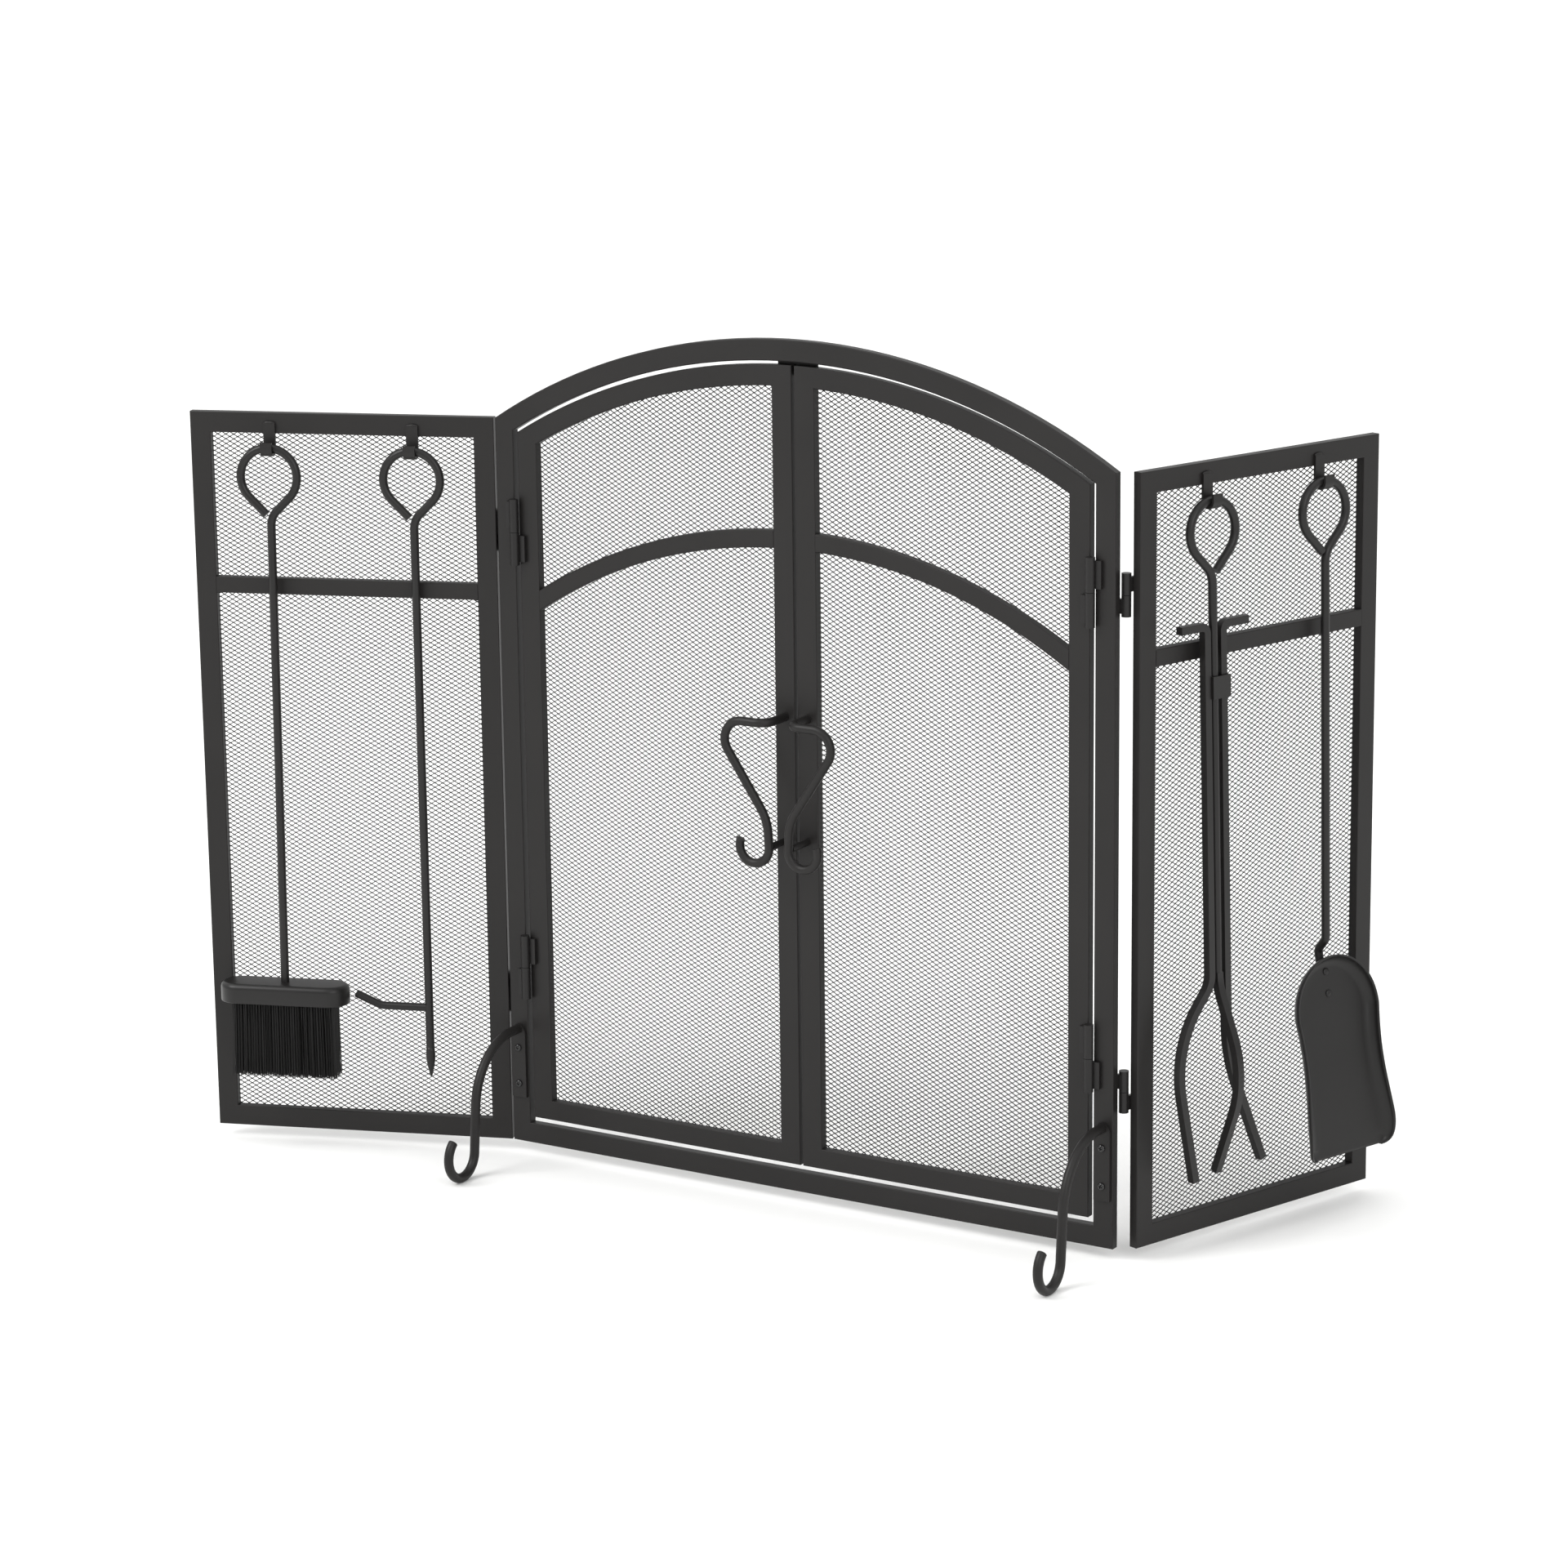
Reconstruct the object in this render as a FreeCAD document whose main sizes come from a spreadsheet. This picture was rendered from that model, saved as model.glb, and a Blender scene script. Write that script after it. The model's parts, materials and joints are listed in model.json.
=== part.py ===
"""Folding fireplace screen: an arched centre frame with two doors, two hinged wings and four tools.

Frame of the model: millimetres, +Z up, the floor at Z 0 and X 0 on the centre line. The front of the
centre frame is the plane Y 0 and faces -Y. Each wing and its tools are drawn as if the screen lay flat,
then turned about the wing's hinge.
"""
import FreeCAD, Part
import Sketcher
import math
import os

Vector = FreeCAD.Vector
UP = Vector(0, 0, 1)

DIMENSIONS = {
    # whole screen
    "frame_width": 646.6, "shoulder_height": 700, "arch_rise": 93.2, "ground_clearance": 12,
    "bar_width": 19.5, "bar_depth": 9.5, "edge_radius": 0.9,
    "wing_width": 294.5, "wing_gap": 6.6, "crossbar_height": 527, "crossbar_width": 15.5,
    "left_fold": 19.8, "right_fold": 71.1,
    # doors
    "door_side_gap": 5.3, "door_top_gap": 3.3, "door_bottom_gap": 6.5, "meeting_gap": 3,
    "door_stile_width": 20.5, "door_rail_width": 19, "door_setback": 0.3,
    "mid_rail_radius": 526, "mid_rail_top": 621, "mid_rail_width": 16.5,
    "stop_tab_width": 41, "stop_tab_height": 24, "stop_tab_thick": 2,
    # mesh panels
    "mesh_lap": 8, "mesh_thick": 1,
    # hinges
    "knuckle_radius": 4.4, "hinge_pin_radius": 2.5, "pin_clearance": 0.05, "knuckle_gap": 0.4,
    "leaf_clearance": 0.3, "leaf_width": 10, "leaf_thick": 3.5, "leaf_inset": 3,
    "door_hinge_length": 62, "door_hinge_drop": 105, "door_hinge_bottom": 176,
    "wing_hinge_length": 38.5, "wing_hinge_drop": 108, "wing_hinge_bottom": 144,
    # feet
    "foot_bar_radius": 4.5, "foot_plate_width": 16, "foot_plate_thick": 3, "foot_plate_bottom": 45,
    "foot_plate_top": 117, "foot_start": 12, "foot_bend_radius": 62, "foot_bend_angle": 85,
    "foot_curl_radius": 21, "foot_curl_angle": 226, "foot_flat": 0.35,
    "screw_radius": 3.6, "screw_head": 2.2, "screw_high": 94, "screw_low": 58.5,
    # door handles
    "handle_radius": 4.1, "handle_reach": 33, "handle_height": 450, "handle_bend": 12,
    "handle_top_run": 14, "handle_turn_radius": 18, "handle_turn_angle": 124,
    "handle_slope_run": 61, "handle_ease_radius": 45, "handle_ease_angle": 31, "handle_drop_run": 13,
    "handle_curl_radius": 15.5, "handle_curl_angle": 205,
    # hooks
    "hook_width": 11.4, "hook_thick": 2.5, "hook_clearance": 1, "hook_lip": 6,
    "hook_inset": 78, "hook_drop": 32.4,
    # tools
    "rod_radius": 4, "loop_radius": 27.4, "loop_slope": 45, "loop_neck_radius": 20, "loop_end_gap": 0.5,
    "loop_rise": 0.2, "cap_width": 127, "cap_depth": 40, "cap_height": 19, "cap_top": 153, "cap_edge": 5,
    "cap_standoff": 1.2, "bristle_width": 103, "bristle_depth": 27, "bristle_length": 73,
    "poker_tip_height": 61, "poker_taper": 30, "poker_tip_radius": 1.6, "prong_height": 130,
    "prong_run": 43, "prong_bend_radius": 22, "prong_bend_angle": 24, "prong_end_run": 22,
    "tongs_bar_side": 7.2, "tongs_standoff": 21, "tongs_bar_gap": 2.2,
    "tab_drop": 142, "tab_run": 25, "tab_bend_radius": 6, "collar_drop": 207, "collar_length": 20,
    "collar_wall": 1.6, "collar_clearance": 0.3, "bundle_end": 246, "claw_bow": 95, "claw_tip": 82,
    "left_claw_bend": 25, "left_claw_turn": 42, "left_claw_run": 12, "left_claw_return": 52,
    "middle_claw_bend": 60, "middle_claw_turn": 22, "middle_claw_run": 36, "middle_claw_return": 44,
    "middle_claw_tip": 62, "right_claw_run": 50, "right_claw_bend": 150, "right_claw_turn": 22,
    "shovel_standoff": 17, "shovel_neck": 252, "jog_radius": 8, "jog_angle": 40, "jog_run": 8,
    "shovel_tail": 48,
    "pan_width": 102, "pan_flare": 2.5, "pan_length": 181, "pan_thick": 1.6, "pan_lip": 14, "pan_tilt": 10,
    "pan_top": 232, "pan_seat": 0.2, "mouth_corner": 10, "mouth_run": 26,
    "rivet_radius": 3.4, "rivet_head": 1.8, "rivet_high": 14, "rivet_low": 34,
}
SIDES = {"left": -1, "right": 1}

doc = FreeCAD.newDocument("fireplace_screen")
sheet = doc.addObject("Spreadsheet::Sheet", "sizes")
for row, (alias, value) in enumerate(DIMENSIONS.items(), start=1):
    sheet.set(f"A{row}", alias)
    sheet.set(f"B{row}", str(value))
    sheet.setAlias(f"B{row}", alias)
doc.recompute()


class Size:
    """A length or angle that knows its value and the sheet formula behind it."""

    def __init__(self, value, text):
        self.value = value
        self.text = text

    @staticmethod
    def of(other):
        return other if isinstance(other, Size) else Size(float(other), f"({other})")

    def __add__(self, other):
        other = Size.of(other)
        return Size(self.value + other.value, f"({self.text} + {other.text})")

    def __sub__(self, other):
        other = Size.of(other)
        return Size(self.value - other.value, f"({self.text} - {other.text})")

    def __mul__(self, other):
        other = Size.of(other)
        return Size(self.value * other.value, f"({self.text} * {other.text})")

    def __truediv__(self, other):
        other = Size.of(other)
        return Size(self.value / other.value, f"({self.text} / {other.text})")

    def __neg__(self):
        return self * -1

    def __radd__(self, other):
        return Size.of(other) + self

    def __rsub__(self, other):
        return Size.of(other) - self

    def __rmul__(self, other):
        return Size.of(other) * self


def root(size):
    return Size(math.sqrt(size.value), f"sqrt({size.text})")


def cosine(angle):
    angle = Size.of(angle)
    return Size(math.cos(math.radians(angle.value)), f"cos({angle.text})")


def sine(angle):
    angle = Size.of(angle)
    return Size(math.sin(math.radians(angle.value)), f"sin({angle.text})")


def size(alias):
    return Size(float(sheet.get(alias)), f"sizes.{alias}")


def bind(obj, prop, amount):
    """Ties one property of obj to the sheet."""
    obj.setExpression(prop, Size.of(amount).text)


NODES = {}


def node(obj, label, placement=None):
    """Registers obj as the sub-part called label, turned with its wing by placement if there is one."""
    if placement is not None:
        if obj.TypeId in ("Part::Box", "Part::Cylinder", "Part::Cone"):
            obj = together([obj])
        obj.Placement = placement
    obj.Label = label
    NODES[label] = obj


# ---------------------------------------------------------------- sketches

def plane_of(body, role):
    return next(item for item in body.Origin.OriginFeatures if item.Role == role)


def new_sketch(body, name, role, offset):
    """A sketch on one of the body's own origin planes, moved offset along the plane's normal."""
    sketch = body.newObject("Sketcher::SketchObject", name)
    sketch.AttachmentSupport = [(plane_of(body, role), "")]
    sketch.MapMode = "FlatFace"
    bind(sketch, "AttachmentOffset.Base.z", offset)
    return sketch


def fix_point(sketch, item, end, point, name):
    """Holds one end of a sketch line or arc at a point given by two sizes."""
    for axis, amount in zip("XY", point):
        amount = Size.of(amount)
        index = sketch.addConstraint(
            Sketcher.Constraint(f"Distance{axis}", -1, 1, item, end, amount.value))
        sketch.renameConstraint(index, f"{name}_{axis}")
        sketch.setExpression(f"Constraints.{name}_{axis}", amount.text)


def fix_radius(sketch, item, radius, name):
    radius = Size.of(radius)
    index = sketch.addConstraint(Sketcher.Constraint("Radius", item, radius.value))
    sketch.renameConstraint(index, name)
    sketch.setExpression(f"Constraints.{name}", radius.text)


def flat(point):
    return Vector(Size.of(point[0]).value, Size.of(point[1]).value, 0)


def arc_middle(start, end, radius, turn):
    """Middle of an arc of at most half a circle; turn +1 goes anticlockwise from start to end."""
    chord = end - start
    half = chord.Length / 2
    across = Vector(-chord.y, chord.x, 0).normalize()
    depth = math.sqrt(max(radius ** 2 - half ** 2, 0))
    return (start + end) * 0.5 + across * (turn * (depth - radius))


def draw_chain(sketch, points, arcs, closed):
    """Draws a chain of lines and arcs. arcs maps a side's number to (radius, turn) or (radius, middle)."""
    count = len(points) if closed else len(points) - 1
    starts = []
    for side in range(count):
        start = flat(points[side])
        end = flat(points[(side + 1) % len(points)])
        if side in arcs:
            radius, shape = arcs[side]
            middle = shape if isinstance(shape, Vector) else arc_middle(start, end, radius.value, shape)
            forward = (middle - start).cross(end - middle).z > 0
            curve = Part.Arc(start, middle, end) if forward else Part.Arc(end, middle, start)
            item = sketch.addGeometry(curve, False)
            fix_radius(sketch, item, radius, f"radius_{side}")
        else:
            item = sketch.addGeometry(Part.LineSegment(start, end), False)
            forward = True
        starts.append((item, 1 if forward else 2, 2 if forward else 1))
    for side, (item, first, last) in enumerate(starts):
        fix_point(sketch, item, first, points[side], f"point_{side}")
        following = starts[(side + 1) % count] if closed or side + 1 < count else None
        if following:
            sketch.addConstraint(
                Sketcher.Constraint("Coincident", item, last, following[0], following[1]))
        else:
            fix_point(sketch, item, last, points[side + 1], "point_end")


def draw_circle(sketch, centre, radius):
    item = sketch.addGeometry(Part.Circle(flat(centre), Vector(0, 0, 1), Size.of(radius).value), False)
    fix_point(sketch, item, 3, centre, "centre")
    fix_radius(sketch, item, radius, "circle")


# ---------------------------------------------------------------- solids

def pad(body, sketch, depth, backwards=False):
    feature = body.newObject("PartDesign::Pad", "pad")
    feature.Profile = sketch
    feature.Reversed = backwards
    bind(feature, "Length", depth)
    return feature


def soften(body, base, sides, points, curved):
    """Breaks the long edges of a padded outline: rounds on a straight bar, flats on a curved one."""
    doc.recompute()
    chosen = []
    ends = [(flat(points[side]), flat(points[(side + 1) % len(points)])) for side in sides]
    for number, edge in enumerate(base.Shape.Edges, start=1):
        first, last = [Vector(v.Point.x, v.Point.z, 0) for v in (edge.Vertexes[0], edge.Vertexes[-1])]
        for start, end in ends:
            along = min((first - start).Length + (last - end).Length,
                        (first - end).Length + (last - start).Length)
            if along < 1e-4:
                chosen.append(f"Edge{number}")
    if curved:
        edges = body.newObject("PartDesign::Chamfer", "soft_edges")
        amount = "Size"
    else:
        edges = body.newObject("PartDesign::Fillet", "soft_edges")
        amount = "Radius"
    edges.Base = (base, chosen)
    bind(edges, amount, size("edge_radius"))


def bar(label, points, arcs=None, long_sides=(), front=0, depth=None, placement=None):
    """A flat-faced bar or plate: an outline in X and Z with its front face at Y front."""
    body = doc.addObject("PartDesign::Body", label)
    sketch = new_sketch(body, "outline", "XZ_Plane", -Size.of(front))
    draw_chain(sketch, points, arcs or {}, True)
    depth = size("bar_depth") if depth is None else depth
    solid = pad(body, sketch, depth, backwards=True)
    if long_sides:
        soften(body, solid, long_sides, points, bool(arcs))
    node(body, label, placement)


def cylinder(radius, length, x, y, z, turn=None):
    """A cylinder that stands on (x, y, z), or lies along a turned axis."""
    item = doc.addObject("Part::Cylinder", "cylinder")
    bind(item, "Radius", radius)
    bind(item, "Height", length)
    if turn is not None:
        item.Placement.Rotation = turn
    for axis, amount in zip("xyz", (x, y, z)):
        bind(item, f"Placement.Base.{axis}", amount)
    return item


def box(low, spans):
    item = doc.addObject("Part::Box", "box")
    for prop, amount in zip(("Length", "Width", "Height"), spans):
        bind(item, prop, amount)
    for axis, amount in zip("xyz", low):
        bind(item, f"Placement.Base.{axis}", amount)
    return item


def joined(first, second):
    fuse = doc.addObject("Part::Fuse", "joined")
    fuse.Base = first
    fuse.Tool = second
    fuse.Refine = True
    return fuse


def cut(base, tool):
    result = doc.addObject("Part::Cut", "cut")
    result.Base = base
    result.Tool = tool
    return result


def together(items):
    group = doc.addObject("Part::Compound", "group")
    group.Links = items
    return group


# ---------------------------------------------------------------- bent bars

class Path:
    """A chain of straight runs and tangent arcs in one plane, as a smith would bend it."""

    def __init__(self, start, heading):
        self.points = [start]
        self.arcs = {}
        self.heading = Size.of(heading)

    def run(self, length):
        across, along = self.points[-1]
        self.points.append((across + length * cosine(self.heading), along + length * sine(self.heading)))
        return self

    def bend(self, radius, angle):
        """Turns by angle, anticlockwise if positive, round an arc of the given radius."""
        radius = Size.of(radius)
        angle = Size.of(angle)
        side = 1 if angle.value > 0 else -1
        across, along = self.points[-1]
        begin = self.heading - side * 90
        centre = (across - radius * cosine(begin), along - radius * sine(begin))
        halfway = begin + angle / 2
        finish = begin + angle
        middle = (centre[0] + radius * cosine(halfway), centre[1] + radius * sine(halfway))
        self.arcs[len(self.points) - 1] = (radius, flat(middle))
        self.points.append((centre[0] + radius * cosine(finish), centre[1] + radius * sine(finish)))
        self.heading = self.heading + angle
        return self


def add_pipe(body, path, role, offset, section_role, section_offset, section):
    """Sweeps a section along a path. section(sketch) draws the closed section."""
    spine = new_sketch(body, "spine", role, offset)
    draw_chain(spine, path.points, path.arcs, False)
    outline = new_sketch(body, "section", section_role, section_offset)
    section(outline)
    pipe = body.newObject("PartDesign::AdditivePipe", "bar")
    pipe.Profile = outline
    pipe.Spine = (spine, [])
    pipe.Transition = "Transformed"
    return pipe


def round_section(centre, radius):
    def draw(sketch):
        draw_circle(sketch, centre, radius)
    return draw


def square_section(centre, side):
    half = side / 2
    corners = [(centre[0] + a * half, centre[1] + b * half) for a, b in ((-1, -1), (1, -1), (1, 1), (-1, 1))]

    def draw(sketch):
        draw_chain(sketch, corners, {}, True)
    return draw


# ---------------------------------------------------------------- centre frame

ground = size("ground_clearance")
half_width = size("frame_width") / 2
bar_width = size("bar_width")
bar_depth = size("bar_depth")
shoulder = ground + size("shoulder_height")
rise = size("arch_rise")
arch_radius = (half_width * half_width + rise * rise) / (2 * rise)
arch_centre = shoulder + rise - arch_radius
inner_radius = arch_radius - bar_width
inner_x = half_width - bar_width


def on_arch(radius, x):
    """Height of the arch of that radius above x."""
    return arch_centre + root(radius * radius - x * x)


def frame_bars():
    low = ground
    inner_low = ground + bar_width
    inner_high = on_arch(inner_radius, inner_x)
    for side, sign in SIDES.items():
        corners = [(sign * half_width, low), (sign * half_width, shoulder),
                   (sign * inner_x, inner_high), (sign * inner_x, inner_low)]
        bar(f"frame_{side}_stile", corners, long_sides=(0, 2))
    bar("frame_bottom_rail", [(-half_width, low), (half_width, low), (inner_x, inner_low),
                              (-inner_x, inner_low)], long_sides=(0, 2))
    bar("frame_arch_rail", [(-half_width, shoulder), (half_width, shoulder), (inner_x, inner_high),
                            (-inner_x, inner_high)],
        arcs={0: (arch_radius, -1), 2: (inner_radius, 1)}, long_sides=(0, 2))


def stop_tab():
    """Plate behind the top of both doors that they close against."""
    half = size("stop_tab_width") / 2
    top = arch_centre + inner_radius + bar_width * 0.55
    low = top - size("stop_tab_height")
    bar("door_stop_tab", [(-half, low), (half, low), (half, top), (-half, top)],
        front=bar_depth, depth=size("stop_tab_thick"))


# ---------------------------------------------------------------- hinges

def knuckle(axis_x, axis_y, low, length, reach, face_y, bore):
    """One hinge knuckle with the small leaf that is welded to a bar. reach is signed, away from the axis."""
    barrel = cylinder(size("knuckle_radius"), length, axis_x, axis_y, low)
    inset = size("leaf_inset")
    start = axis_x if reach.value > 0 else axis_x + reach
    width = reach if reach.value > 0 else -reach
    thick = size("leaf_thick")
    leaf_y = face_y if axis_y.value > face_y.value else face_y - thick
    leaf = box((start, leaf_y, low + inset), (width, thick, length - 2 * inset))
    hole = cylinder(bore, length, axis_x, axis_y, low)
    return cut(joined(barrel, leaf), hole)


FRAME_HINGES = {"frame_door_knuckles": [], "door_hinge_pins": [], "frame_wing_knuckles": [],
                "wing_hinge_pins": []}


def hinge_set(prefix, kind, sign, axis_x, axis_y, face_y, lengths, placement):
    """Knuckles on the moving panel and on the centre frame, and the pins, for one panel's two hinges.

    lengths are the hinge's length, its drop from the shoulder and its height above the bottom rail.
    """
    total, drop, low = lengths
    half = total / 2 - size("knuckle_gap") / 2
    bore = size("hinge_pin_radius") + size("pin_clearance")
    is_wing = kind == "wing"
    reach = size("leaf_width") * (sign if is_wing else -sign)
    panel = []
    for middle, panel_on_top in ((shoulder - drop, is_wing), (ground + low, not is_wing)):
        upper = middle + size("knuckle_gap") / 2
        lower = middle - total / 2
        panel_low, frame_low = (upper, lower) if panel_on_top else (lower, upper)
        panel.append(knuckle(axis_x, axis_y, panel_low, half, reach, face_y, bore))
        FRAME_HINGES[f"frame_{kind}_knuckles"].append(
            knuckle(axis_x, axis_y, frame_low, half, -reach, face_y, bore))
        FRAME_HINGES[f"{kind}_hinge_pins"].append(
            cylinder(size("hinge_pin_radius"), total, axis_x, axis_y, lower))
    node(together(panel), f"{prefix}_knuckles", placement)


door_axis_x = inner_x - size("door_side_gap") / 2
door_axis_y = -(size("knuckle_radius") + size("leaf_clearance"))
wing_axis_x = half_width + size("wing_gap") / 2
wing_axis_y = bar_depth + size("knuckle_radius") + size("leaf_clearance")


# ---------------------------------------------------------------- doors

def door(side, sign):
    outer = inner_x - size("door_side_gap")
    middle = size("meeting_gap") / 2
    stile = size("door_stile_width")
    rail = size("door_rail_width")
    low = ground + bar_width + size("door_bottom_gap")
    high_radius = inner_radius - size("door_top_gap")
    open_radius = high_radius - rail
    inside = (outer - stile, middle + stile)
    depth = bar_depth - size("door_setback")
    turn = -sign

    def place(points):
        return [(sign * x, z) for x, z in points]

    def door_bar(name, points, arcs=None, long_sides=(0, 2)):
        bar(f"{side}_door_{name}", place(points), arcs=arcs, long_sides=long_sides, depth=depth)

    corners = {
        "outer_low": (outer, low), "inner_low": (inside[0], low + rail),
        "outer_high": (outer, on_arch(high_radius, outer)),
        "inner_high": (inside[0], on_arch(open_radius, inside[0])),
        "meet_low": (middle, low), "near_low": (inside[1], low + rail),
        "meet_high": (middle, on_arch(high_radius, middle)),
        "near_high": (inside[1], on_arch(open_radius, inside[1])),
    }

    def pick(*names):
        return [corners[name] for name in names]

    door_bar("hinge_stile", pick("outer_low", "outer_high", "inner_high", "inner_low"))
    door_bar("meeting_stile", pick("meet_low", "meet_high", "near_high", "near_low"))
    door_bar("bottom_rail", pick("outer_low", "meet_low", "near_low", "inner_low"))
    door_bar("top_rail", pick("outer_high", "meet_high", "near_high", "inner_high"),
             arcs={0: (high_radius, sign), 2: (open_radius, turn)})
    mid_radius = size("mid_rail_radius")
    mid_centre = ground + size("mid_rail_top") - mid_radius
    under_radius = mid_radius - size("mid_rail_width")

    def on_mid(radius, x):
        return mid_centre + root(radius * radius - x * x)

    door_bar("mid_rail", [(inside[0], on_mid(mid_radius, inside[0])),
                          (inside[1], on_mid(mid_radius, inside[1])),
                          (inside[1], on_mid(under_radius, inside[1])),
                          (inside[0], on_mid(under_radius, inside[0]))],
             arcs={0: (mid_radius, sign), 2: (under_radius, turn)})
    lap = size("mesh_lap")
    wide = (inside[0] + lap, inside[1] - lap)
    mesh_radius = open_radius + lap
    mesh_low = low + rail - lap
    bar(f"{side}_door_mesh", place([(wide[0], mesh_low), (wide[0], on_arch(mesh_radius, wide[0])),
                                    (wide[1], on_arch(mesh_radius, wide[1])), (wide[1], mesh_low)]),
        arcs={1: (mesh_radius, sign)}, front=depth, depth=size("mesh_thick"))
    lengths = (size("door_hinge_length"), size("door_hinge_drop"), size("door_hinge_bottom"))
    hinge_set(f"{side}_door", "door", sign, sign * door_axis_x, door_axis_y, Size.of(0), lengths, None)
    handle(side, sign, middle + stile / 2)


def handle(side, sign, centre):
    """Half-heart pull: a round bar that springs forward from the meeting stile and curls at its foot."""
    radius = size("handle_radius")
    reach = size("handle_reach")
    bend = size("handle_bend")
    high = ground + size("handle_height")
    root_x = sign * centre
    body = doc.addObject("PartDesign::Body", f"{side}_door_handle")
    stem = Path((root_x, Size.of(0)), -90).run(reach - bend).bend(bend, sign * 90)
    add_pipe(body, stem, "XY_Plane", high, "XZ_Plane", Size.of(0), round_section((root_x, high), radius))
    front = Path((root_x + sign * bend, high), 0 if sign > 0 else 180)
    front.run(size("handle_top_run"))
    front.bend(size("handle_turn_radius"), -sign * size("handle_turn_angle"))
    front.run(size("handle_slope_run"))
    front.bend(size("handle_ease_radius"), sign * size("handle_ease_angle"))
    front.run(size("handle_drop_run"))
    front.bend(size("handle_curl_radius"), sign * size("handle_curl_angle"))
    add_pipe(body, front, "XZ_Plane", reach, "YZ_Plane", root_x + sign * bend,
             round_section((-reach, high), radius))
    node(body, f"{side}_door_handle")
    post_x = front.points[-2][0]
    lie_forward = FreeCAD.Rotation(Vector(1, 0, 0), 90)
    post = cylinder(radius * 0.8, reach - radius, post_x, Size.of(0), front.points[-2][1], lie_forward)
    node(post, f"{side}_door_handle_post")


# ---------------------------------------------------------------- feet

def foot(side, sign):
    """Screwed plate and the bar that arches forward from its top down to a curled toe."""
    plate = size("foot_plate_width")
    thick = size("foot_plate_thick")
    low = ground + size("foot_plate_bottom")
    high = ground + size("foot_plate_top")
    centre = sign * (half_width - bar_width / 2)
    bar_radius = size("foot_bar_radius")
    body = doc.addObject("PartDesign::Body", f"{side}_foot")
    sketch = new_sketch(body, "outline", "XZ_Plane", Size.of(0))
    shoulder_z = high - plate / 2
    left, right = centre - plate / 2, centre + plate / 2
    crown = (centre, high)
    draw_chain(sketch, [(left, low), (right, low), (right, shoulder_z), crown, (left, shoulder_z)],
               {2: (plate / 2, 1), 3: (plate / 2, 1)}, True)
    pad(body, sketch, thick)
    start = (Size.of(0) - thick / 2, high - bar_radius)
    path = Path(start, 180).run(size("foot_start")).bend(size("foot_bend_radius"), size("foot_bend_angle"))
    curl = size("foot_curl_radius")
    lean = 180 + size("foot_bend_angle")
    toe = bar_radius - size("foot_flat") + curl
    drop = (path.points[-1][1] - toe - curl * cosine(lean)) / (-sine(lean))
    path.run(drop).bend(curl, -size("foot_curl_angle"))
    add_pipe(body, path, "YZ_Plane", centre, "XZ_Plane", thick / 2,
             round_section((centre, high - bar_radius), bar_radius))
    trim = new_sketch(body, "floor", "XY_Plane", Size.of(0))
    far = curl * 8
    draw_chain(trim, [(centre - plate, -far), (centre + plate, -far), (centre + plate, Size.of(0)),
                      (centre - plate, Size.of(0))], {}, True)
    pocket = body.newObject("PartDesign::Pocket", "toe_flat")
    pocket.Profile = trim
    pocket.Reversed = False
    bind(pocket, "Length", bar_radius)
    node(body, f"{side}_foot")


def foot_screws():
    """Domed screw heads that hold the foot plates."""
    heads = []
    lie_forward = FreeCAD.Rotation(Vector(1, 0, 0), 90)
    for sign in SIDES.values():
        for height in ("screw_high", "screw_low"):
            heads.append(cylinder(size("screw_radius"), size("screw_head"),
                                  sign * (half_width - bar_width / 2), -size("foot_plate_thick"),
                                  ground + size(height), lie_forward))
    node(together(heads), "foot_screws")


# ---------------------------------------------------------------- wings

def fold(sign, angle):
    """Placement that turns a flat-drawn wing about its hinge axis."""
    pivot = Vector(sign * wing_axis_x.value, wing_axis_y.value, 0)
    return FreeCAD.Placement(Vector(), FreeCAD.Rotation(UP, angle), pivot)


def wing(side, sign, placement):
    near = half_width + size("wing_gap")
    far = near + size("wing_width")
    low = ground
    inside = (near + bar_width, far - bar_width)
    floor_in, top_in = low + bar_width, shoulder - bar_width

    def wing_bar(name, points, long_sides=(0, 2)):
        bar(f"{side}_wing_{name}", [(sign * x, z) for x, z in points], long_sides=long_sides,
            placement=placement)

    wing_bar("inner_stile", [(near, low), (near, shoulder), (inside[0], top_in), (inside[0], floor_in)])
    wing_bar("outer_stile", [(far, low), (far, shoulder), (inside[1], top_in), (inside[1], floor_in)])
    wing_bar("top_rail", [(near, shoulder), (far, shoulder), (inside[1], top_in), (inside[0], top_in)])
    wing_bar("bottom_rail", [(near, low), (far, low), (inside[1], floor_in), (inside[0], floor_in)])
    cross = ground + size("crossbar_height")
    cross_top = cross + size("crossbar_width")
    wing_bar("crossbar", [(inside[0], cross), (inside[1], cross),
                          (inside[1], cross_top), (inside[0], cross_top)])
    lap = size("mesh_lap")
    mesh = [(inside[0] - lap, floor_in - lap), (inside[1] + lap, floor_in - lap),
            (inside[1] + lap, top_in + lap), (inside[0] - lap, top_in + lap)]
    bar(f"{side}_wing_mesh", [(sign * x, z) for x, z in mesh], front=bar_depth, depth=size("mesh_thick"),
        placement=placement)
    lengths = (size("wing_hinge_length"), size("wing_hinge_drop"), size("wing_hinge_bottom"))
    hinge_set(f"{side}_wing", "wing", sign, sign * wing_axis_x, wing_axis_y, bar_depth, lengths, placement)
    for name, x in hook_places(sign).items():
        hook(f"{side}_wing_{name}_hook", x, placement)


def hook_places(sign):
    near = half_width + size("wing_gap")
    return {"inner": sign * (near + size("hook_inset")),
            "outer": sign * (near + size("wing_width") - size("hook_inset"))}


rod = size("rod_radius")
hook_inner_radius = rod + size("hook_clearance")
hook_plane = size("hook_thick") + hook_inner_radius
hook_centre = shoulder - size("hook_drop")


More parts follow.
